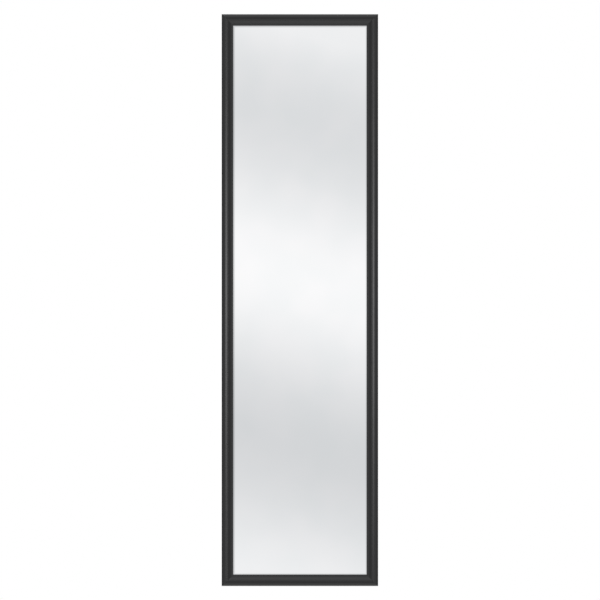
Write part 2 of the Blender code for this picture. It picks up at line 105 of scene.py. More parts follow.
def trace(name, places):
    # a plane merged to one point, then that point extruded from place to place: an open chain
    freshStart()
    bpy.ops.mesh.primitive_plane_add(size=mm, location=places[0])
    piece = startPiece(name)
    bpy.ops.object.mode_set(mode="EDIT")
    bpy.ops.mesh.select_mode(type="VERT")
    bpy.ops.mesh.select_all(action="SELECT")
    bpy.ops.mesh.merge(type="CENTER")
    for here, there in zip(places, places[1:]):
        extrude(*(Vector(there) - Vector(here)))
    bpy.ops.mesh.select_all(action="SELECT")
    return piece


def turn(name, profile, steps):
    # a profile of (radius, height) points, spun about z
    piece = trace(name, [(radius, 0, height) for radius, height in profile])
    bpy.ops.mesh.spin(steps=steps, angle=2 * math.pi, center=(0, 0, 0), axis=(0, 0, 1))
    cleanUp(piece)
    return piece


def cleanUp(piece):
    # doubles merged and faces turned outwards
    takeUp(piece)
    bpy.ops.object.mode_set(mode="EDIT")
    bpy.ops.mesh.select_all(action="SELECT")
    bpy.ops.mesh.remove_doubles(threshold=weldDistance)
    bpy.ops.mesh.normals_make_consistent(inside=False)
    bpy.ops.object.mode_set(mode="OBJECT")


def applyTool(piece, kind, **settings):
    takeUp(piece)
    tool = piece.modifiers.new(kind.title(), kind)
    for name, value in settings.items():
        setattr(tool, name, value)
    bpy.ops.object.modifier_apply(modifier=tool.name)


def cutAway(piece, cutter):
    applyTool(piece, "BOOLEAN", object=cutter, operation="DIFFERENCE", solver="EXACT")


def softenEdges(piece, width, steps=2):
    limit = math.radians(easedAngle)
    applyTool(piece, "BEVEL", width=width, segments=steps, limit_method="ANGLE", angle_limit=limit)


def copyOf(piece, name):
    takeUp(piece)
    bpy.ops.object.duplicate(linked=False)
    twin = bpy.context.object
    twin.name = name
    return twin


def settle(piece, place, turned=(0, 0, 0)):
    takeUp(piece)
    piece.location = place
    piece.rotation_euler = turned
    bpy.ops.object.transform_apply(location=True, rotation=True, scale=True)


def putAway(*pieces):
    # cutters and patterns that no longer have a use
    for piece in pieces:
        takeUp(piece)
        bpy.ops.object.delete()


def finishPiece(piece, finish, slotName, body, *nodes, sharpAngle=32, sheet=False):
    cleanUp(piece)
    bpy.ops.object.shade_smooth_by_angle(angle=math.radians(sharpAngle))
    if sheet:  # the large faces rule the shading, so a flat stays flat up to its eased edges
        applyTool(piece, "WEIGHTED_NORMAL", keep_sharp=True)
    piece.data.name = piece.name
    piece.data.materials.clear()
    piece.data.materials.append(finish)
    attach(piece, body)
    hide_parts(*nodes)


def ellipseArc(centre, width, rise, start, end, steps):
    angles = [math.radians(start + (end - start) * i / steps) for i in range(steps + 1)]
    return [(centre[0] + width * math.cos(a), centre[1] + rise * math.sin(a)) for a in angles]


def bentLine(start, moves, steps):
    # a line in (y, z) that sets off upwards: (length, 0) runs on, (radius, degrees) bends right
    spot, heading = Vector(start), quarterTurn
    line = [tuple(spot)]
    for size, degrees in moves:
        if degrees == 0:
            spot = spot + Vector((math.cos(heading), math.sin(heading))) * size
            line.append(tuple(spot))
            continue
        side = math.copysign(quarterTurn, degrees)
        centre = spot + Vector((math.cos(heading - side), math.sin(heading - side))) * size
        for i in range(1, steps + 1):
            bearing = heading + side - math.radians(degrees) * i / steps
            line.append(tuple(centre + Vector((math.cos(bearing), math.sin(bearing))) * size))
        spot = Vector(line[-1])
        heading -= math.radians(degrees)
    return line


def bentStrip(name, line, width, thickness, endRadii):
    # a strip of sheet bent along a line in (y, z), with the corners of both ends rounded
    strip = trace(name, [(-width / 2, y, z) for y, z in line])
    extrude(width, 0, 0)
    for (y, z), radius in zip((line[0], line[-1]), endRadii):
        if radius:
            pick(strip, "VERT", lambda p: (p.yz - Vector((y, z))).length < weldDistance)
            bpy.ops.mesh.bevel(affect="VERTICES", offset=radius, segments=cornerSteps)
    cleanUp(strip)
    applyTool(strip, "SOLIDIFY", thickness=thickness, offset=0, use_even_offset=True)
    return strip


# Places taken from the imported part
frameLow = Vector((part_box("left_stile")[0].x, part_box("top_rail")[0].y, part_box("bottom_rail")[0].z))
frameHigh = Vector((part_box("right_stile")[1].x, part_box("top_rail")[1].y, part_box("top_rail")[1].z))
frameMiddle = (frameLow.z + frameHigh.z) / 2
frameBack = frameHigh.y
frameWidth = frameHigh.x - frameLow.x
frameHeight = frameHigh.z - frameLow.z
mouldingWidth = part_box("left_stile")[1].x - frameLow.x


# Finishes: colour and node helpers
noiseLow, noiseHigh = 0.3, 0.7  # nearly all of a noise texture lies between these


def linear(hexColour):
    # an sRGB hex value as linear red, green, blue and a full alpha
    shares = [int(hexColour[i:i + 2], 16) / 255 for i in (1, 3, 5)]
    return tuple(s / 12.92 if s <= 0.04045 else ((s + 0.055) / 1.055) ** 2.4 for s in shares) + (1,)


def addNode(tree, kind, links=None, stops=(), **settings):
    # a node with its settings, its inputs linked to a socket or set to a value, and a ramp's stops
    node = tree.nodes.new("ShaderNode" + kind)
    for name, value in settings.items():
        setattr(node, name, value)
    for name, value in (links or {}).items():
        if isinstance(value, bpy.types.NodeSocket):
            tree.links.new(value, node.inputs[name])
        else:
            node.inputs[name].default_value = value
    for i, (position, colour) in enumerate(stops):
        if i == len(node.color_ramp.elements):
            node.color_ramp.elements.new(1.0)
        node.color_ramp.elements[i].position = position
        node.color_ramp.elements[i].color = colour
    return node


def startFinish(name, **shaderValues):
    # a new material, its tree, its shader and where a point lies on the object
    finish = bpy.data.materials.new(name)
    finish.use_nodes = True
    tree = finish.node_tree
    shader = tree.nodes["Principled BSDF"]
    for socket, value in shaderValues.items():
        shader.inputs[socket.replace("_", " ")].default_value = value
    place = addNode(tree, "TexCoord").outputs["Object"]
    return finish, tree, shader, place


# Black moulding: lacquer sprayed over an extruded section. Near black and satin, with faint draw
# lines along each length. The real lines are about 0.4 mm apart: here 1.6 mm, so that they show.
lacquer = {
    "dark": "#101011",
    "light": "#19191A",
    "drawLine": 1.6 * mm,
    "lineLength": 120 * mm,
    "lineDepth": 0.04 * mm,
    "peel": 2.4 * mm,
    "peelDepth": 0.03 * mm,
    "bump": 0.04,
    "smoothest": 0.15,
    "roughest": 0.18,
}


def lacqueredMoulding(name, axis):
    finish, tree, shader, place = startFinish(name, IOR=1.5)
    stretch = [1.0, 1.0, 1.0]
    stretch["xyz".index(axis)] = lacquer["drawLine"] / lacquer["lineLength"]
    along = addNode(tree, "Mapping", {"Vector": place, "Scale": stretch}).outputs["Vector"]
    lines = addNode(tree, "TexNoise", {
        "Vector": along, "Scale": 1 / lacquer["drawLine"], "Detail": 3.0,
    })
    peel = addNode(tree, "TexNoise", {"Vector": place, "Scale": 1 / lacquer["peel"], "Detail": 2.0})
    tone = addNode(tree, "ValToRGB", {"Fac": lines.outputs["Fac"]}, [
        (noiseLow, linear(lacquer["dark"])), (noiseHigh, linear(lacquer["light"])),
    ])
    gloss = addNode(tree, "MapRange", {
        "Value": lines.outputs["Fac"], "From Min": noiseLow, "From Max": noiseHigh,
        "To Min": lacquer["smoothest"], "To Max": lacquer["roughest"],
    })
    drawn = addNode(tree, "Bump", {
        "Height": lines.outputs["Fac"],
        "Strength": lacquer["bump"], "Distance": lacquer["lineDepth"],
    })
    sprayed = addNode(tree, "Bump", {
        "Height": peel.outputs["Fac"], "Normal": drawn.outputs["Normal"],
        "Strength": lacquer["bump"], "Distance": lacquer["peelDepth"],
    })
    tree.links.new(tone.outputs["Color"], shader.inputs["Base Color"])
    tree.links.new(gloss.outputs["Result"], shader.inputs["Roughness"])
    tree.links.new(sprayed.outputs["Normal"], shader.inputs["Normal"])
    return finish


# Silvered float glass: a clear, cool reflection under a polished front face. The silver is very
# faintly cloudy, in patches about 90 mm wide. Beside the moulding runs a painted shade: a soft
# band where the silver's colour is mixed towards a darker grey, as if the lip kept light off it.
silvering = {
    "bright": "#F9F9FA",
    "dull": "#F6F7F8",
    "toneSpan": (0.35, 0.65),
    # painted shade beside the moulding: its grey, how wide it is and how far it is shifted
    "margin": "#B9BABB",
    "marginWide": 4.5 * mm,
    "marginShift": (-0.9 * mm, 0.6 * mm),  # the painted shade is wider at the left and the top
    "patch": 90 * mm,
    "clearest": 0.0,
    "cloudiest": 0.012,
}


def silveredGlass(name):
    finish, tree, shader, place = startFinish(
        name, Metallic=1.0, Coat_Weight=1.0, Coat_Roughness=0.0, Coat_IOR=1.52,
    )
    cloud = addNode(tree, "TexNoise", {
        "Vector": place, "Scale": 1 / silvering["patch"], "Detail": 1.0,
    })
    toneLow, toneHigh = silvering["toneSpan"]
    tone = addNode(tree, "ValToRGB", {"Fac": cloud.outputs["Fac"]}, [
        (toneLow, linear(silvering["dull"])), (toneHigh, linear(silvering["bright"])),
    ])
    gloss = addNode(tree, "MapRange", {
        "Value": cloud.outputs["Fac"], "From Min": noiseLow, "From Max": noiseHigh,
        "To Min": silvering["cloudiest"], "To Max": silvering["clearest"],
    })
    shiftX, shiftZ = silvering["marginShift"]
    fromMiddle = addNode(tree, "VectorMath", {
        0: place, 1: (shiftX, 0, shiftZ - frameMiddle),
    }, operation="ADD")
    folded = addNode(tree, "VectorMath", {0: fromMiddle.outputs[0]}, operation="ABSOLUTE")
    sight = (frameWidth / 2 - mouldingWidth, 0, frameHeight / 2 - mouldingWidth)
    inside = addNode(tree, "VectorMath", {0: sight, 1: folded.outputs[0]}, operation="SUBTRACT")
    apart = addNode(tree, "SeparateXYZ", {0: inside.outputs[0]})
    nearest = addNode(tree, "Math", {
        0: apart.outputs["X"], 1: apart.outputs["Z"],
    }, operation="MINIMUM")
    marginWide = silvering["marginWide"]
    # painted shade: near the sight edge the silver's colour is mixed towards a darker grey
    clear = addNode(tree, "MapRange", {
        "Value": nearest.outputs[0], "From Min": -marginWide / 4, "From Max": marginWide,
    }, interpolation_type="SMOOTHSTEP")
    silver = addNode(tree, "Mix", {
        0: clear.outputs["Result"], 6: linear(silvering["margin"]), 7: tone.outputs["Color"],
    }, data_type="RGBA")
    tree.links.new(silver.outputs[2], shader.inputs["Base Color"])
    tree.links.new(gloss.outputs["Result"], shader.inputs["Roughness"])
    return finish


# Kraft board: brown paper glued over flutes. Dull and pale, mottled by its matted fibres, with a
# few small dark specks, faint straight glue lines along the flutes and broad blotches of damp.
kraft = {
    "paper": "#B2956D",
    "pale": "#BC9F77",
    "dark": "#A78A63",
    "fleck": "#866B49",
    "mottle": 1.4 * mm,
    "feltDepth": 0.05 * mm,
    "bump": 0.25,
    "fleckSpacing": 7 * mm,
    "fleckEdge": (0.03, 0.07),  # shares of that spacing: where a speck starts to fade, and its rim
    "fleckShare": 0.5,
    "glueLine": 6.5 * mm,
    "glueShare": 0.3,
    "blotch": 70 * mm,
    "blotchSpan": (0.35, 0.7),
    "blotchShare": (0.1, 0.7),
}


def kraftBoard(name):
    finish, tree, shader, place = startFinish(name, Roughness=0.9, Specular_IOR_Level=0.3)
    mottle = addNode(tree, "TexNoise", {
        "Vector": place, "Scale": 1 / kraft["mottle"], "Detail": 6.0, "Roughness": 0.7,
    })
    blotches = addNode(tree, "TexNoise", {
        "Vector": place, "Scale": 1 / kraft["blotch"], "Detail": 3.0,
    })
    flecks = addNode(tree, "TexVoronoi", {"Vector": place, "Scale": 1 / kraft["fleckSpacing"]})
    waveUnit = 2 * math.pi / 20  # one band of the wave texture at a scale of 1
    glue = addNode(tree, "TexWave", {
        "Vector": place, "Scale": waveUnit / kraft["glueLine"], "Distortion": 0.2, "Detail": 1.0,
    })
    paper = addNode(tree, "ValToRGB", {"Fac": mottle.outputs["Fac"]}, [
        (noiseLow, linear(kraft["dark"])), (noiseHigh, linear(kraft["pale"])),
    ])
    spanLow, spanHigh = kraft["blotchSpan"]
    shareLow, shareHigh = kraft["blotchShare"]
    blotchShare = addNode(tree, "MapRange", {
        "Value": blotches.outputs["Fac"], "From Min": spanLow, "From Max": spanHigh,
        "To Min": shareLow, "To Max": shareHigh,
    })
    blotched = addNode(tree, "Mix", {
        0: blotchShare.outputs["Result"], 6: paper.outputs["Color"], 7: linear(kraft["paper"]),
    }, data_type="RGBA")
    glueShare = addNode(tree, "MapRange", {
        "Value": glue.outputs["Fac"], "To Max": kraft["glueShare"],
    })
    lined = addNode(tree, "Mix", {
        0: glueShare.outputs["Result"], 6: blotched.outputs[2], 7: linear(kraft["dark"]),
    }, data_type="RGBA")
    fleckCore, fleckRim = kraft["fleckEdge"]
    fleckShare = addNode(tree, "MapRange", {
        "Value": flecks.outputs["Distance"], "From Min": fleckCore, "From Max": fleckRim,
        "To Min": kraft["fleckShare"], "To Max": 0.0,
    })
    flecked = addNode(tree, "Mix", {
        0: fleckShare.outputs["Result"], 6: lined.outputs[2], 7: linear(kraft["fleck"]),
    }, data_type="RGBA")
    felt = addNode(tree, "Bump", {
        "Height": mottle.outputs["Fac"], "Strength": kraft["bump"], "Distance": kraft["feltDepth"],
    })
    tree.links.new(flecked.outputs[2], shader.inputs["Base Color"])
    tree.links.new(felt.outputs["Normal"], shader.inputs["Normal"])
    return finish


# Steel: zinc-plated strip with fine rolling lines and a cloudy passivated coat, and bare sheet for
# the points and nails, darker and oily. Real rolling lines are about 0.1 mm apart: here 0.7 and
# 0.5 mm, so that they show.
zincPlate = {
    "pale": "#C9CCCF",
    "dark": "#AEB1B5",
    "line": 0.7 * mm,
    "lineLength": 30 * mm,
    "lineDepth": 0.02 * mm,
    "bump": 0.15,
    "cloud": 7 * mm,
    "smoothest": 0.24,
    "roughest": 0.4,
}
bareSheet = {
    "pale": "#9B9C9E",
    "dark": "#77797C",
    "line": 0.5 * mm,
    "lineLength": 8 * mm,
    "lineDepth": 0.02 * mm,
    "bump": 0.15,
    "cloud": 4 * mm,
    "smoothest": 0.3,
    "roughest": 0.46,
}


def rolledSteel(name, look):
    finish, tree, shader, place = startFinish(name, Metallic=1.0)
    alongStrip = look["line"] / look["lineLength"]
    stretch = (1.0, alongStrip, alongStrip)  # a strip bends about x, so its lines follow the bends
    along = addNode(tree, "Mapping", {"Vector": place, "Scale": stretch}).outputs["Vector"]
    lines = addNode(tree, "TexNoise", {"Vector": along, "Scale": 1 / look["line"], "Detail": 2.0})
    clouds = addNode(tree, "TexNoise", {"Vector": place, "Scale": 1 / look["cloud"], "Detail": 3.0})
    tone = addNode(tree, "ValToRGB", {"Fac": clouds.outputs["Fac"]}, [
        (noiseLow, linear(look["dark"])), (noiseHigh, linear(look["pale"])),
    ])
    gloss = addNode(tree, "MapRange", {
        "Value": lines.outputs["Fac"], "From Min": noiseLow, "From Max": noiseHigh,
        "To Min": look["smoothest"], "To Max": look["roughest"],
    })
    rolled = addNode(tree, "Bump", {
        "Height": lines.outputs["Fac"], "Strength": look["bump"], "Distance": look["lineDepth"],
    })
    tree.links.new(tone.outputs["Color"], shader.inputs["Base Color"])
    tree.links.new(gloss.outputs["Result"], shader.inputs["Roughness"])
    tree.links.new(rolled.outputs["Normal"], shader.inputs["Normal"])
    return finish


# Closed-cell foam tape: charcoal and dull, with a skin of small round cells.
foam = {
    "cell": "#3A3B3D",
    "wall": "#4C4D50",
    "toneSpan": (0.2, 0.7),
    "cellSize": 0.9 * mm,
    "cellDepth": 0.15 * mm,
    "bump": 0.5,
}


def closedCellFoam(name):
    finish, tree, shader, place = startFinish(name, Roughness=0.95, Specular_IOR_Level=0.25)
    cells = addNode(tree, "TexVoronoi", {"Vector": place, "Scale": 1 / foam["cellSize"]})
    toneLow, toneHigh = foam["toneSpan"]
    tone = addNode(tree, "ValToRGB", {"Fac": cells.outputs["Distance"]}, [
        (toneLow, linear(foam["cell"])), (toneHigh, linear(foam["wall"])),
    ])
    skin = addNode(tree, "Bump", {
        "Height": cells.outputs["Distance"],
        "Strength": foam["bump"], "Distance": foam["cellDepth"],
    })
    tree.links.new(tone.outputs["Color"], shader.inputs["Base Color"])
    tree.links.new(skin.outputs["Normal"], shader.inputs["Normal"])
    return finish


# Moulded polyurethane stud: pale grey and faintly milky, with a fine eroded grain from the tool.
stud = {
    "pale": "#B9BCBE",
    "dark": "#AEB1B3",
    "grain": 0.8 * mm,
    "grainDepth": 0.03 * mm,
    "bump": 0.2,
}


def mouldedStud(name):
    finish, tree, shader, place = startFinish(
        name, Roughness=0.48, Coat_Weight=0.2, Coat_Roughness=0.25,
    )
    grain = addNode(tree, "TexNoise", {"Vector": place, "Scale": 1 / stud["grain"], "Detail": 3.0})
    tone = addNode(tree, "ValToRGB", {"Fac": grain.outputs["Fac"]}, [
        (noiseLow, linear(stud["dark"])), (noiseHigh, linear(stud["pale"])),
    ])
    eroded = addNode(tree, "Bump", {
        "Height": grain.outputs["Fac"], "Strength": stud["bump"], "Distance": stud["grainDepth"],
    })
    tree.links.new(tone.outputs["Color"], shader.inputs["Base Color"])
    tree.links.new(eroded.outputs["Normal"], shader.inputs["Normal"])
    return finish


railLacquer = lacqueredMoulding("blackLacquerAlongRail", "x")
stileLacquer = lacqueredMoulding("blackLacquerAlongStile", "z")
mirrorFinish = silveredGlass("silveredFloatGlass")
boardFinish = kraftBoard("kraftFlutedBoard")
zincFinish = rolledSteel("zincPlatedRolledSteel", zincPlate)
bareFinish = rolledSteel("bareSheetSteel", bareSheet)
foamFinish = closedCellFoam("closedCellFoamTape")
studFinish = mouldedStud("mouldedPolyurethane")
print("finishes ready")


# Moulding: one section, drawn from its outer edge to its sight edge and round the rabbet
moulding = {
    "ovolo": (13.5 * mm, 8.5 * mm),
    "nose": (2.2 * mm, 43),  # radius and degrees of the turn at the crest
    "slope": (7.5 * mm, 5.4 * mm),
    "slopeSag": 0.15 * mm,
    "fillet": 4.4 * mm,  # flat beside the glass, with a rounded sight edge
    "sightEdge": 0.9 * mm,
    "lip": 11.6 * mm,  # height of the fillet
    "rabbet": (6 * mm, 10 * mm),
    "backChamfer": 0.6 * mm,
    "arris": 0.09 * mm,  # sanded off the mitred edges, so that the joint shows as a hairline
    "overrun": 5 * mm,
    "ovoloSteps": 40,
    "slopeSteps": 20,
    "roundSteps": 8,  # round the nose and the sight edge
}


def mouldingSection():
    ovoloWide, ovoloRise = moulding["ovolo"]
    noseRadius, noseTurn = moulding["nose"]
    slopeWide, slopeRise = moulding["slope"]
    edge, lip = moulding["sightEdge"], moulding["lip"]
    rabbetWide, rabbetDeep = moulding["rabbet"]
    roundSteps, slopeSteps = moulding["roundSteps"], moulding["slopeSteps"]
    crest = lip + slopeRise
    foot = ovoloWide + slopeWide
    sight = foot + moulding["fillet"]
    line = [(moulding["backChamfer"], 0), (0, moulding["backChamfer"])]
    springing = (ovoloWide, crest - ovoloRise)
    line += ellipseArc(springing, ovoloWide, ovoloRise, 180, 90, moulding["ovoloSteps"])
    noseCentre = (ovoloWide, crest - noseRadius)
    line += ellipseArc(noseCentre, noseRadius, noseRadius, 90, 90 - noseTurn, roundSteps)[1:]
    top, bottom = Vector(line[-1]), Vector((foot, lip))
    hollow = Vector((-slopeRise, -slopeWide)).normalized() * moulding["slopeSag"]
    shares = [i / slopeSteps for i in range(1, slopeSteps + 1)]
    line += [tuple(top.lerp(bottom, s) + hollow * 4 * s * (1 - s)) for s in shares]
    line += ellipseArc((sight - edge, lip - edge), edge, edge, 90, 0, roundSteps)
    line += [(sight, rabbetDeep), (sight - rabbetWide, rabbetDeep), (sight - rabbetWide, 0)]
    return line


def mitredLength(name, length):
    # along x about its middle, with its outer edge on z = 0 and its back on y = 0
    start = -length / 2 - moulding["overrun"]
    rail = trace(name, [(start, -height, -across) for across, height in mouldingSection()])
    bpy.ops.mesh.edge_face_add()
    extrude(length + 2 * moulding["overrun"], 0, 0)
    for end in (-1, 1):
        bpy.ops.mesh.select_all(action="SELECT")
        bpy.ops.mesh.bisect(
            plane_co=(end * length / 2, 0, 0), plane_no=(end, 0, -1),
            use_fill=True, clear_outer=True,
        )
    onMitre = lambda p: abs(abs(p.x) - length / 2 - p.z) < weldDistance
    pick(rail, "EDGE", lambda a, b: a.x * b.x > 0 and onMitre(a) and onMitre(b))
    bpy.ops.mesh.bevel(affect="EDGES", offset=moulding["arris"], segments=1)
    cleanUp(rail)
    return rail


topRail = mitredLength("topRailMoulding", frameWidth)
bottomRail = copyOf(topRail, "bottomRailMoulding")
leftStile = mitredLength("leftStileMoulding", frameHeight)
rightStile = copyOf(leftStile, "rightStileMoulding")
settle(topRail, (0, frameBack, frameHigh.z))
settle(bottomRail, (0, frameBack, frameLow.z), (0, 2 * quarterTurn, 0))
settle(leftStile, (frameLow.x, frameBack, frameMiddle), (0, -quarterTurn, 0))
settle(rightStile, (frameHigh.x, frameBack, frameMiddle), (0, quarterTurn, 0))
print("moulding drawn and mitred")


# Pockets in the moulding for all that is driven into it: V-nails at the mitres, points and screws
pocket = {
    "ease": 0.05 * mm,
    "nailOffsets": (5 * mm, 12 * mm),
    "nailWing": 6.05 * mm,
    "nailSheet": 0.65 * mm,
    "nailDepth": 10.4 * mm,
    "overrun": 1 * mm,  # a slit's cutter passes the mitre and the back by this
    "hangerShank": 1.8 * mm,
    "ringShank": 1.4 * mm,
    "holeSides": 24,
    "pastTip": 0.4 * mm,
}


def block(name, low, high):
    freshStart()
    bpy.ops.mesh.primitive_cube_add(size=1, location=(low + high) / 2, scale=high - low)
    return startPiece(name)


def nailSlit(axis, offset, xSide, zSide):
    # for the wing of a V-nail that lies along one length of the moulding
    along = (-pocket["nailWing"], pocket["overrun"])
    across = (-pocket["nailSheet"], pocket["ease"])
    xSpan, zSpan = (along, across) if axis == "x" else (across, along)
    x = sorted(xSide * (frameWidth / 2 - offset + out) for out in xSpan)
    z = sorted(zSide * (frameHeight / 2 - offset + out) + frameMiddle for out in zSpan)
    low = Vector((x[0], frameBack - pocket["nailDepth"], z[0]))
    high = Vector((x[1], frameBack + pocket["overrun"], z[1]))
    return block("nailSlit", low, high)


def pointSlit(low, high):
    room = Vector((pocket["ease"],) * 3)
    return block("pointSlit", low - room, high + room)


def screwHole(shank, middle, length):
    freshStart()
    bpy.ops.mesh.primitive_cylinder_add(
        vertices=pocket["holeSides"], radius=shank + pocket["ease"],
        depth=length + 2 * pocket["pastTip"], location=middle, rotation=(quarterTurn, 0, 0),
    )
    return startPiece("screwHole")


def drivenPockets(axis):
    corners = [(x, z) for x in (-1, 1) for z in (-1, 1)]
    cutters = [nailSlit(axis, offset, x, z) for offset in pocket["nailOffsets"] for x, z in corners]
    for name in frame["nodes"]:
        low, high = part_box(name)
        if name.startswith("backing_point"):
            cutters.append(pointSlit(low, high))
        elif "_screw" in name:
            shank = pocket["ringShank" if "_ring_" in name else "hangerShank"]
            cutters.append(screwHole(shank, (low + high) / 2, high.y - low.y))
    takeUp(cutters[0])
    for cutter in cutters:
        cutter.select_set(True)
    bpy.ops.object.join()
    return bpy.context.object


for axis, finish, lengths in (
    ("x", railLacquer, {"top_rail": topRail, "bottom_rail": bottomRail}),
    ("z", stileLacquer, {"left_stile": leftStile, "right_stile": rightStile}),
):
    pockets = drivenPockets(axis)
    for node, rail in lengths.items():
        cutAway(rail, pockets)
        finishPiece(rail, finish, "black_moulding", "mirror_frame", node, sharpAngle=22)
    putAway(pockets)
for name, node in frame["nodes"].items():
    if name.startswith("v_nail"):  # these keep their CAD shape, sunk in their slits
        node.data.materials.clear()
        node.data.materials.append(bareFinish)
print("moulding finished, nails in their slits")


# Glass plate with its ground seams
plate = {"seam": 0.4 * mm, "seamSteps": 2}
glass = block("mirrorGlass", *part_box("mirror_glass"))
bpy.ops.object.mode_set(mode="EDIT")
bpy.ops.mesh.select_all(action="SELECT")
bpy.ops.mesh.bevel(affect="EDGES", offset=plate["seam"], segments=plate["seamSteps"])
finishPiece(glass, mirrorFinish, "silvered_glass", "mirror_frame", "mirror_glass", sharpAngle=15)
print("glass plate ready")


# Fluted board behind the plate: its back shows the flutes as a faint washboard
board = {"flute": 6.5 * mm, "washboard": 0.07 * mm, "fluteSteps": 6}
low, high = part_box("backing_board")
flutes = round((high.x - low.x) / board["flute"])
count = flutes * board["fluteSteps"]
ripple = []
for i in range(count + 1):
    sink = board["washboard"] * (1 - math.cos(2 * math.pi * i / board["fluteSteps"])) / 2
    ripple.append((low.x + (high.x - low.x) * i / count, high.y - sink, low.z))
backing = trace("backingBoard", [(low.x, low.y, low.z)] + ripple + [(high.x, low.y, low.z)])
bpy.ops.mesh.edge_face_add()
extrude(0, 0, high.z - low.z)
finishPiece(backing, boardFinish, "kraft_board", "mirror_frame", "backing_board", sharpAngle=40)
print("backing board ready:", flutes, "flutes")


# Points that hold the board: stamped once and copied round the rabbet
point = {
    "width": 6 * mm,
    "thickness": 0.5 * mm,
    "bite": 6 * mm,  # driven into the wall of the rabbet
    "reach": 9 * mm,  # out over the board
    "tip": 3 * mm,
    "corner": 0.9 * mm,
    "cornerSteps": 5,
    "edge": 0.06 * mm,
}
pointTurn = {"top": 0, "right": quarterTurn, "bottom": 2 * quarterTurn, "left": -quarterTurn}


def stampedPoint():
    # flat in xz, its tip towards +z, and the wall of the rabbet on z = 0
    half, bite, reach = point["width"] / 2, point["bite"], point["reach"]
    shoulder = bite - point["tip"]
    outline = [(-half, shoulder), (0, bite), (half, shoulder), (half, -reach), (-half, -reach)]
    stamp = trace("pointPattern", [(x, 0, z) for x, z in outline])
    bpy.ops.mesh.edge_face_add()
    pick(stamp, "VERT", lambda p: p.z < 0)
    bpy.ops.mesh.bevel(affect="VERTICES", offset=point["corner"], segments=point["cornerSteps"])
    bpy.ops.mesh.select_all(action="SELECT")
    extrude(0, point["thickness"], 0)
    cleanUp(stamp)
    softenEdges(stamp, point["edge"], steps=1)
    return stamp


stamp = stampedPoint()
for name in sorted(frame["nodes"]):
    if not name.startswith("backing_point"):
        continue
    low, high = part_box(name)
    edge, number = name.split("_")[2:]
    piece = copyOf(stamp, edge + "BackingPoint" + number)
    centre = (low + high) / 2
    angle = pointTurn[edge]
    inward = Vector((-math.sin(angle), 0, -math.cos(angle)))
    wall = centre + inward * (point["bite"] - point["reach"]) / 2
    settle(piece, (wall.x, low.y, wall.z), (0, angle, 0))
    finishPiece(piece, bareFinish, "bare_steel", "mirror_frame", name, sheet=True)
putAway(stamp)
print("backing points driven")


# Hangers: strip bent over the door, slotted, with its edges eased
hanger = {
    "width": 16 * mm,
    "thickness": 1.5 * mm,
    "middle": 4.25 * mm,  # from the door's face to the middle of the strip
    "end": -164.5 * mm,
    "bendStart": -0.5 * mm,
    "bend": 4.75 * mm,
    "over": 35 * mm,
    "lip": 29.5 * mm,
    "flare": (7.75 * mm, -28),
    "flareRun": 5 * mm,
    "endRadii": (6 * mm, 4 * mm),
    "slot": (-39.5 * mm, -154.5 * mm),
    "slotRadius": 2.1 * mm,
    "slotSides": 32,
    "edge": 0.22 * mm,
    "bendSteps": 14,
}


def slottedHanger():
    bend = (hanger["bend"], 90)
    moves = [(hanger["bendStart"] - hanger["end"], 0), bend, (hanger["over"], 0), bend]
    moves += [(hanger["lip"], 0), hanger["flare"], (hanger["flareRun"], 0)]
    line = bentLine((-hanger["middle"], hanger["end"]), moves, hanger["bendSteps"])
    width, thickness = hanger["width"], hanger["thickness"]
    strip = bentStrip("hangerPattern", line, width, thickness, hanger["endRadii"])
    top, bottom = hanger["slot"]
    freshStart()
    bpy.ops.mesh.primitive_cylinder_add(
        vertices=hanger["slotSides"], radius=hanger["slotRadius"], depth=4 * thickness,
        location=(0, -hanger["middle"], top), rotation=(quarterTurn, 0, 0),
    )
    slot = startPiece("slotCutter")
    pick(slot, "VERT", lambda p: p.z < top - weldDistance)
    bpy.ops.transform.translate(value=(0, 0, bottom - top))
    cutAway(strip, slot)
    putAway(slot)
    softenEdges(strip, hanger["edge"])
    return strip


hangerPattern = slottedHanger()
for side in sides:
    low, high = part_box(side + "_hanger")
    piece = copyOf(hangerPattern, side + "Hanger")
    settle(piece, ((low.x + high.x) / 2, 0, 0))
    finishPiece(piece, zincFinish, "zinc_steel", side + "_hook", side + "_hanger", sheet=True)
putAway(hangerPattern)
print("hangers bent and slotted")


# Foam tape inside each hook, stuck to the strip. Its cut edges are soft and its corners round.
liner = {
    "width": 14 * mm,
    "thickness": 3.4 * mm,
    "middle": 1.75 * mm,  # from the door's face to the middle of the tape
    "drop": 29.5 * mm,
    "lip": 25.5 * mm,
    "bend": 2.25 * mm,
    "bendSteps": 10,
    "endRadii": (1 * mm, 1 * mm),
    "edge": 0.8 * mm,
    "edgeSteps": 4,
}
bend = (liner["bend"], 90)
moves = [(liner["drop"], 0), bend, (hanger["over"], 0), bend, (liner["lip"], 0)]
start = (-liner["middle"], -liner["drop"] + hanger["bendStart"])
line = bentLine(start, moves, liner["bendSteps"])
linerPattern = bentStrip(
    "linerPattern", line, liner["width"], liner["thickness"], liner["endRadii"],
)
softenEdges(linerPattern, liner["edge"], liner["edgeSteps"])
for side in sides:
    node = side + "_hook_liner"
    low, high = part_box(node)
    piece = copyOf(linerPattern, side + "HookLiner")
    settle(piece, ((low.x + high.x) / 2, 0, 0))
    finishPiece(piece, foamFinish, "grey_foam", side + "_hook", node, sharpAngle=60)
putAway(linerPattern)
print("foam liners stuck in")


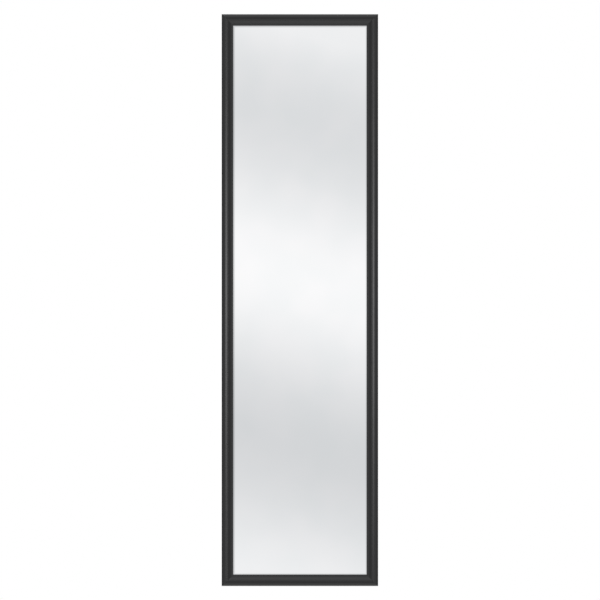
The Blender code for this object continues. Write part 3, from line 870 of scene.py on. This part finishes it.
# Pan-head screws with a cross recess, and washers
hangerScrew = {
    "head": 3.5 * mm,
    "rise": 2.1 * mm,
    "edge": 1.0 * mm,
    "shank": pocket["hangerShank"],
    "length": 12 * mm,
    "tip": 3 * mm,
    "recess": 2.5 * mm,
    "recessDepth": 1.7 * mm,
    "wing": 1.2 * mm,
}
ringScrew = {
    "head": 3.0 * mm,
    "rise": 1.7 * mm,
    "edge": 0.8 * mm,
    "shank": pocket["ringShank"],
    "length": 10 * mm,
    "tip": 3 * mm,
    "recess": 2.05 * mm,
    "recessDepth": 1.4 * mm,
    "wing": 1.0 * mm,
}
anyScrew = {
    "crownEnd": 20,  # degrees: where the crown meets the rim
    "crownSteps": 12,
    "rimFoot": 0.6,  # share of the rim's height, where its flank turns upright
    "recessTaper": 0.5,
    "turnSteps": 40,
}
screwTurn = {  # radians: how each cross stands
    "left_upper": 0.35,
    "left_lower": 1.2,
    "right_upper": 0.8,
    "right_lower": 0.1,
    "ring": 0.5,
}
washer = {
    "radius": 4.5 * mm,
    "hole": 2.1 * mm,
    "edge": 0.12 * mm,
    "belowLiner": 0.28 * mm,  # brings its foot to the strip's face, just clear of it
    "turnSteps": 48,
}


def crossBit(size):
    # a small block with an arm pulled out of each side, narrower towards its foot
    wing, depth = size["wing"], size["recessDepth"]
    low = Vector((-wing / 2, -wing / 2, size["rise"] - depth))
    high = Vector((wing / 2, wing / 2, size["rise"] + depth))
    bit = block("crossBit", low, high)
    squareOn = 0.9  # least dot product of a face that looks along its arm
    for x, y in ((1, 0), (-1, 0), (0, 1), (0, -1)):
        arm = Vector((x, y, 0))
        onArm = lambda centre: abs(centre.xy.cross(arm.xy)) < weldDistance
        pick(bit, "FACE", lambda centre, normal: normal.dot(arm) > squareOn and onArm(centre))
        extrude(*(arm * (size["recess"] - wing / 2)))
    pick(bit, "VERT", lambda p: p.z < size["rise"])
    taper = anyScrew["recessTaper"]
    bpy.ops.transform.resize(value=(taper, taper, 1), center_override=(0, 0, size["rise"]))
    cleanUp(bit)
    return bit


def panHeadScrew(name, size):
    # its head sits on z = 0 and its point is below
    head, rim = size["head"], size["rise"] - size["edge"]
    shank, length = size["shank"], size["length"]
    crown = ellipseArc(
        (0, rim), head, size["edge"], 90, anyScrew["crownEnd"], anyScrew["crownSteps"],
    )
    profile = crown + [(head, rim * anyScrew["rimFoot"]), (head, 0), (shank, 0)]
    profile += [(shank, size["tip"] - length), (0, -length)]
    blank = turn(name, profile, anyScrew["turnSteps"])
    bit = crossBit(size)
    cutAway(blank, bit)
    putAway(bit)
    return blank


def turnedWasher(name, thickness):
    # its foot is on z = 0
    radius, hole, edge = washer["radius"], washer["hole"], washer["edge"]
    profile = [(hole, 0), (radius, 0), (radius, thickness - edge), (radius - edge, thickness)]
    profile += [(hole, thickness), (hole, 0)]
    return turn(name, profile, washer["turnSteps"])


screwPattern = panHeadScrew("screwPattern", hangerScrew)
for side in sides:
    for row in ("upper", "lower"):
        node = f"{side}_hanger_washer_{row}"
        low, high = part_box(node)
        centre = (low + high) / 2
        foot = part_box(side + "_hook_liner")[0].y - washer["belowLiner"]
        piece = turnedWasher(f"{side}{row.title()}Washer", high.y - foot)
        settle(piece, (centre.x, foot, centre.z), (towardsDoor, 0, 0))
        finishPiece(piece, zincFinish, "zinc_steel", "mirror_frame", node)
        piece = copyOf(screwPattern, f"{side}{row.title()}HangerScrew")
        turned = (towardsDoor, screwTurn[f"{side}_{row}"], 0)
        settle(piece, (centre.x, high.y, centre.z), turned)
        node = f"{side}_hanger_screw_{row}"
        finishPiece(piece, zincFinish, "zinc_steel", "mirror_frame", node)
putAway(screwPattern)
print("hanger screws and washers set")


# D-rings: wire run round from the middle of the bar, in a strap folded over the bar
ring = {
    "wire": 1.2 * mm,
    "width": 16 * mm,
    "side": 8 * mm,
    "corner": 2 * mm,
    "wireSides": 20,
    "cornerSteps": 8,
    "bowSteps": 36,
}
ringStrap = {
    "width": 10 * mm,
    "sheet": 0.78 * mm,
    "fold": 1.85 * mm,
    "loopTurn": 275.4,  # degrees round the bar, then back to lie along the first leaf
    "backTurn": -95.4,
    "backBend": 0.8 * mm,
    "foldSteps": 24,
    "length": 12.5 * mm,
    "screwDrop": 7.5 * mm,
    "corner": 2.5 * mm,
    "edge": 0.12 * mm,
}


def wireRing():
    # the bar lies on x through the origin and the bow hangs below it
    half, corner, side = ring["width"] / 2, ring["corner"], ring["side"]
    bend = {"angle": -quarterTurn, "axis": (0, 1, 0), "steps": ring["cornerSteps"]}
    bow = {"angle": -2 * quarterTurn, "axis": (0, 1, 0), "steps": ring["bowSteps"]}
    freshStart()
    bpy.ops.mesh.primitive_circle_add(
        vertices=ring["wireSides"], radius=ring["wire"], fill_type="NOTHING",
        rotation=(0, quarterTurn, 0),
    )
    wire = startPiece("ringPattern")
    bpy.ops.object.mode_set(mode="EDIT")
    bpy.ops.mesh.select_all(action="SELECT")
    extrude(half - corner, 0, 0)
    bpy.ops.mesh.spin(center=(half - corner, 0, -corner), **bend)
    extrude(0, 0, corner - side)
    bpy.ops.mesh.spin(center=(0, 0, -side), **bow)
    extrude(0, 0, side - corner)
    bpy.ops.mesh.spin(center=(corner - half, 0, -corner), **bend)
    extrude(half - corner, 0, 0)
    cleanUp(wire)
    return wire


def foldedStrap():
    # two leaves that hang from a loop round the bar, with a hole for the screw
    length, fold, corner = ringStrap["length"], ringStrap["fold"], ringStrap["corner"]
    moves = [(length, 0), (fold, ringStrap["loopTurn"])]
    moves += [(ringStrap["backBend"], ringStrap["backTurn"])]
    line = bentLine((-fold, -length), moves, ringStrap["foldSteps"])
    line.append((line[-1][0], -length))
    width, sheet = ringStrap["width"], ringStrap["sheet"]
    strap = bentStrip("strapPattern", line, width, sheet, (corner, corner))
    drill = screwHole(ringScrew["shank"], (0, 0, -ringStrap["screwDrop"]), ringScrew["length"])
    cutAway(strap, drill)
    putAway(drill)
    softenEdges(strap, ringStrap["edge"])
    return strap


ringPattern, strapPattern = wireRing(), foldedStrap()
ringScrewPattern = panHeadScrew("ringScrewPattern", ringScrew)
hinges = {
    joint["child"]: Vector(joint["pos_m"])
    for joint in frame["joints"] if joint["child"].endswith("_ring")
}
for side in sides:
    hinge = hinges[side + "_ring"]
    for pattern, name, body, node in (
        (ringPattern, "DRing", side + "_ring", "_d_ring"),
        (strapPattern, "RingStrap", "mirror_frame", "_ring_strap"),
    ):
        piece = copyOf(pattern, side + name)
        settle(piece, hinge)
        flat = pattern is strapPattern
        finishPiece(piece, zincFinish, "zinc_steel", body, side + node, sheet=flat)
    low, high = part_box(side + "_ring_screw")
    centre = (low + high) / 2
    piece = copyOf(ringScrewPattern, side + "RingScrew")
    seat = (centre.x, high.y - ringScrew["rise"], centre.z)
    settle(piece, seat, (towardsDoor, screwTurn["ring"], 0))
    finishPiece(piece, zincFinish, "zinc_steel", "mirror_frame", side + "_ring_screw")
putAway(ringPattern, strapPattern, ringScrewPattern)
print("D-rings hung")


# Bumpers at the foot of the stiles
bumper = {
    "radius": 6 * mm,
    "flat": 4.2 * mm,
    "crown": 1.6 * mm,
    "rise": 5.3 * mm,
    "crownSteps": 12,
    "turnSteps": 48,
}


def turnedBumper():
    # its foot is on z = 0
    radius, flat, rise, crown = bumper["radius"], bumper["flat"], bumper["rise"], bumper["crown"]
    profile = [(0, rise)]
    profile += ellipseArc((flat, rise - crown), radius - flat, crown, 90, 0, bumper["crownSteps"])
    profile += [(radius, 0), (0, 0)]
    return turn("bumperPattern", profile, bumper["turnSteps"])


bumperPattern = turnedBumper()
for side in sides:
    node = side + "_bumper"
    low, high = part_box(node)
    centre = (low + high) / 2
    piece = copyOf(bumperPattern, side + "Bumper")
    settle(piece, (centre.x, high.y - bumper["rise"], centre.z), (towardsDoor, 0, 0))
    finishPiece(piece, studFinish, "grey_rubber", "mirror_frame", node, sharpAngle=50)
putAway(bumperPattern)
print("bumpers stuck on")


# Studio: a pale floor at the door's foot, a bright wall behind the camera, dark sides, a soft top
studio = {
    "floorLevel": -2.032,
    "floorSize": 2.0,
    "floorFade": (0.3, 0.75),  # from its middle, where it starts to thin out and where it is gone
    "floorColour": "#F8F8F6",
    "fill": 1.0,
    "peakTone": 1.5,  # a colour ramp holds shares of this
    "sideStart": (0.5, 0.92),  # how level a direction is, where the sides' tones take over
    "tone": 0.935,  # of the wall behind the camera, as the eye reads it
    "wallEdge": (11, 24),  # degrees from straight ahead, where its folds die away
    "shadeTint": (2.3, 2.2, 2.12),  # powers of red, green and blue: the shaded folds are cooler
    "fold": 0.065,  # how far the folds rise and fall
    "foldPeriod": 0.716,  # their spacing and slope, measured on the mirror
    "foldSlope": 0.24,
    "foldCentre": 0.042,
    "foldSpan": (-0.75, 0.9),  # periods over which they run
    "lift": 0.055,  # rise of its tone from low to high
    "liftReach": 0.15,  # how low and how high that runs
    "glow": 4.4,  # two soft lamps beside the camera
    "glowPlace": (0.35, 0.003),  # aside and up
    "glowSize": (0.17, 0.064),
    "glowEdge": 0.035,  # share of the glow at which a lamp ends
}
sideTones = (  # degrees from straight in front of the mirror, and the brightness there
    (0, 1.0), (12, 1.0), (26, 0.9), (45, 0.82), (57, 0.78), (75, 0.66), (88, 0.42), (102, 0.16),
    (116, 0.05), (124, 0.12), (136, 0.6), (150, 0.85), (180, 0.95),
)
heightTones = (
    (0, 1.0), (8, 1.0), (13, 1.0), (23, 0.7), (36, 0.72), (53, 1.02), (74, 1.24), (107, 0.66),
    (122, 0.5), (140, 0.6), (155, 0.85), (180, 0.95),
)
cameraView = {
    "distance": 4.5,
    "aside": 0.00024,
    "raise": 0.00026,
    "outline": 0.0095,  # height above the frame's back of the edge that the photograph outlines
    "pictureWidth": 1.3206,
    "sensor": 36,
    "clipEnd": 100,
}
softboxes = {
    "overheadFront": {"place": (0, -0.7, 2.6), "size": (2.4, 1.6), "power": 1},
    "overheadBack": {"place": (0, 0.9, 2.6), "size": (2.4, 1.6), "power": 5},
}

freshStart()
bpy.ops.mesh.primitive_plane_add(size=studio["floorSize"], location=(0, 0, studio["floorLevel"]))
floor = bpy.context.object
floor.name = "studioFloor"
floorFinish, tree, shader, place = startFinish("paleStudioFloor", Roughness=0.9)
shader.inputs["Base Color"].default_value = linear(studio["floorColour"])
fromMiddle = addNode(tree, "VectorMath", {0: place}, operation="LENGTH")
fadeStart, fadeEnd = studio["floorFade"]
solid = addNode(tree, "MapRange", {
    "Value": fromMiddle.outputs["Value"], "From Min": fadeStart, "From Max": fadeEnd,
    "To Min": 1.0, "To Max": 0.0,
}, interpolation_type="SMOOTHSTEP")
tree.links.new(solid.outputs["Result"], shader.inputs["Alpha"])
floor.data.materials.append(floorFinish)


def studioLight():
    world = bpy.data.worlds.new("softStudio")
    bpy.context.scene.world = world
    world.use_nodes = True
    world.cycles.sampling_method = "NONE"
    tree = world.node_tree
    direction = addNode(tree, "TexCoord").outputs["Generated"]
    x, y, z = addNode(tree, "SeparateXYZ", {0: direction}).outputs
    forward = addNode(tree, "Math", {0: y, 1: -1.0}, operation="MULTIPLY")
    angle = addNode(tree, "Math", {0: forward.outputs[0]}, operation="ARCCOSINE")
    share = addNode(tree, "Math", {0: angle.outputs[0], 1: math.pi}, operation="DIVIDE")
    aside = addNode(tree, "Math", {0: x}, operation="ABSOLUTE")
    across = addNode(tree, "CombineXYZ", {0: x, 2: z})
    off = addNode(tree, "VectorMath", {0: across.outputs[0]}, operation="LENGTH")
    leastOff = 0.001  # so that straight ahead divides by something
    offSafe = addNode(tree, "Math", {0: off.outputs["Value"], 1: leastOff}, operation="MAXIMUM")
    level = addNode(tree, "Math", {0: aside.outputs[0], 1: offSafe.outputs[0]}, operation="DIVIDE")
    sideStart, sideFull = studio["sideStart"]
    sideShare = addNode(tree, "MapRange", {
        "Value": level.outputs[0], "From Min": sideStart, "From Max": sideFull,
    }, interpolation_type="SMOOTHSTEP")
    surroundTones = []
    for tones in (heightTones, sideTones):
        shades = [(degrees / 180, tone / studio["peakTone"]) for degrees, tone in tones]
        stops = [(position, (shade, shade, shade, 1)) for position, shade in shades]
        ramp = addNode(tree, "ValToRGB", {"Fac": share.outputs[0]}, stops)
        ramp.color_ramp.interpolation = "CARDINAL"
        surroundTones.append(ramp.outputs["Color"])
    surround = addNode(tree, "Mix", {
        0: sideShare.outputs["Result"], 6: surroundTones[0], 7: surroundTones[1],
    }, data_type="RGBA")

    # the wall behind the camera hangs in soft folds that slope down to the right
    period = studio["foldPeriod"] / cameraView["distance"]
    slope = addNode(tree, "Math", {0: x, 1: -studio["foldSlope"]}, operation="MULTIPLY")
    fall = addNode(tree, "Math", {0: slope.outputs[0], 1: z}, operation="SUBTRACT")
    centre = studio["foldCentre"] / cameraView["distance"]
    centred = addNode(tree, "Math", {0: fall.outputs[0], 1: centre})
    first, last = studio["foldSpan"]
    fold = addNode(tree, "MapRange", {
        "Value": centred.outputs[0], "From Min": first * period, "From Max": last * period,
        "To Min": first * 2 * math.pi, "To Max": last * 2 * math.pi,
    })
    wave = addNode(tree, "Math", {0: fold.outputs["Result"]}, operation="COSINE")
    rise = addNode(tree, "Math", {0: wave.outputs[0], 1: studio["fold"]}, operation="MULTIPLY")
    halfLift, reach = studio["lift"] / 2, studio["liftReach"]
    lift = addNode(tree, "MapRange", {
        "Value": z, "From Min": -reach, "From Max": reach, "To Min": -halfLift, "To Max": halfLift,
    })
    change = addNode(tree, "Math", {0: rise.outputs[0], 1: lift.outputs["Result"]})
    wallStart, wallEnd = (math.radians(degrees) for degrees in studio["wallEdge"])
    near = addNode(tree, "MapRange", {
        "Value": angle.outputs[0], "From Min": wallStart, "From Max": wallEnd,
        "To Min": 1.0, "To Max": 0.0,
    }, interpolation_type="SMOOTHSTEP")
    nearChange = addNode(tree, "Math", {
        0: change.outputs[0], 1: near.outputs["Result"],
    }, operation="MULTIPLY")
    wall = addNode(tree, "Math", {0: nearChange.outputs[0], 1: studio["tone"]})
    wallLight = addNode(tree, "VectorMath", {
        0: wall.outputs[0], 1: studio["shadeTint"],
    }, operation="POWER")

    # two soft lamps, one on each side of the camera
    lampX, lampZ = studio["glowPlace"]
    wide, tall = studio["glowSize"]
    folded = addNode(tree, "CombineXYZ", {0: aside.outputs[0], 2: z})
    away = addNode(tree, "VectorMath", {
        0: folded.outputs[0], 1: (lampX, 0, lampZ),
    }, operation="SUBTRACT")
    lampShare = addNode(tree, "VectorMath", {
        0: away.outputs[0], 1: (wide, 1, tall),
    }, operation="DIVIDE")
    spread = addNode(tree, "VectorMath", {
        0: lampShare.outputs[0], 1: lampShare.outputs[0],
    }, operation="DOT_PRODUCT")
    bell = addNode(tree, "Math", {0: 1 / math.e, 1: spread.outputs["Value"]}, operation="POWER")
    lamp = addNode(tree, "MapRange", {
        "Value": bell.outputs[0], "From Min": studio["glowEdge"], "From Max": 1.0,
        "To Max": studio["glow"],
    })
    inFront = addNode(tree, "Math", {0: forward.outputs[0], 1: 0.0}, operation="GREATER_THAN")
    glow = addNode(tree, "Math", {
        0: lamp.outputs["Result"], 1: inFront.outputs[0],
    }, operation="MULTIPLY")

    # what glossy rays meet, while the camera sees white and dull surfaces get an even fill
    shaded = addNode(tree, "VectorMath", {
        0: surround.outputs[2], 1: wallLight.outputs[0],
    }, operation="MULTIPLY")
    lit = addNode(tree, "VectorMath", {
        0: shaded.outputs[0], "Scale": studio["peakTone"],
    }, operation="SCALE")
    whole = addNode(tree, "VectorMath", {0: lit.outputs[0], 1: glow.outputs[0]}, operation="ADD")
    path = addNode(tree, "LightPath")
    fill = (studio["fill"],) * 3 + (1,)
    soft = addNode(tree, "Mix", {
        0: path.outputs["Is Diffuse Ray"], 6: whole.outputs[0], 7: fill,
    }, data_type="RGBA")
    shown = addNode(tree, "Mix", {
        0: path.outputs["Is Camera Ray"], 6: soft.outputs[2], 7: (1, 1, 1, 1),
    }, data_type="RGBA")
    tree.links.new(shown.outputs[2], tree.nodes["Background"].inputs["Color"])


studioLight()
for name, softbox in softboxes.items():
    freshStart()
    bpy.ops.object.light_add(type="AREA", location=softbox["place"])
    lamp = bpy.context.object
    lamp.name = name
    aim = Vector((0, 0, frameMiddle)) - Vector(softbox["place"])
    lamp.rotation_euler = aim.to_track_quat("-Z", "Y").to_euler()
    lamp.data.shape = "RECTANGLE"
    lamp.data.size, lamp.data.size_y = softbox["size"]
    lamp.data.energy = softbox["power"]
    lamp.visible_camera = False

freshStart()
distance = cameraView["distance"]
bpy.ops.object.camera_add(rotation=(quarterTurn, 0, 0), location=(
    cameraView["aside"],
    frameBack - cameraView["outline"] - distance,
    frameMiddle + cameraView["raise"],
))
camera = bpy.context.object
camera.name = "photoCamera"
camera.data.sensor_width = cameraView["sensor"]
camera.data.lens = cameraView["sensor"] * distance / cameraView["pictureWidth"]
camera.data.clip_end = cameraView["clipEnd"]
bpy.context.scene.camera = camera
bpy.context.scene.view_settings.view_transform = "Standard"
print("studio and camera ready")
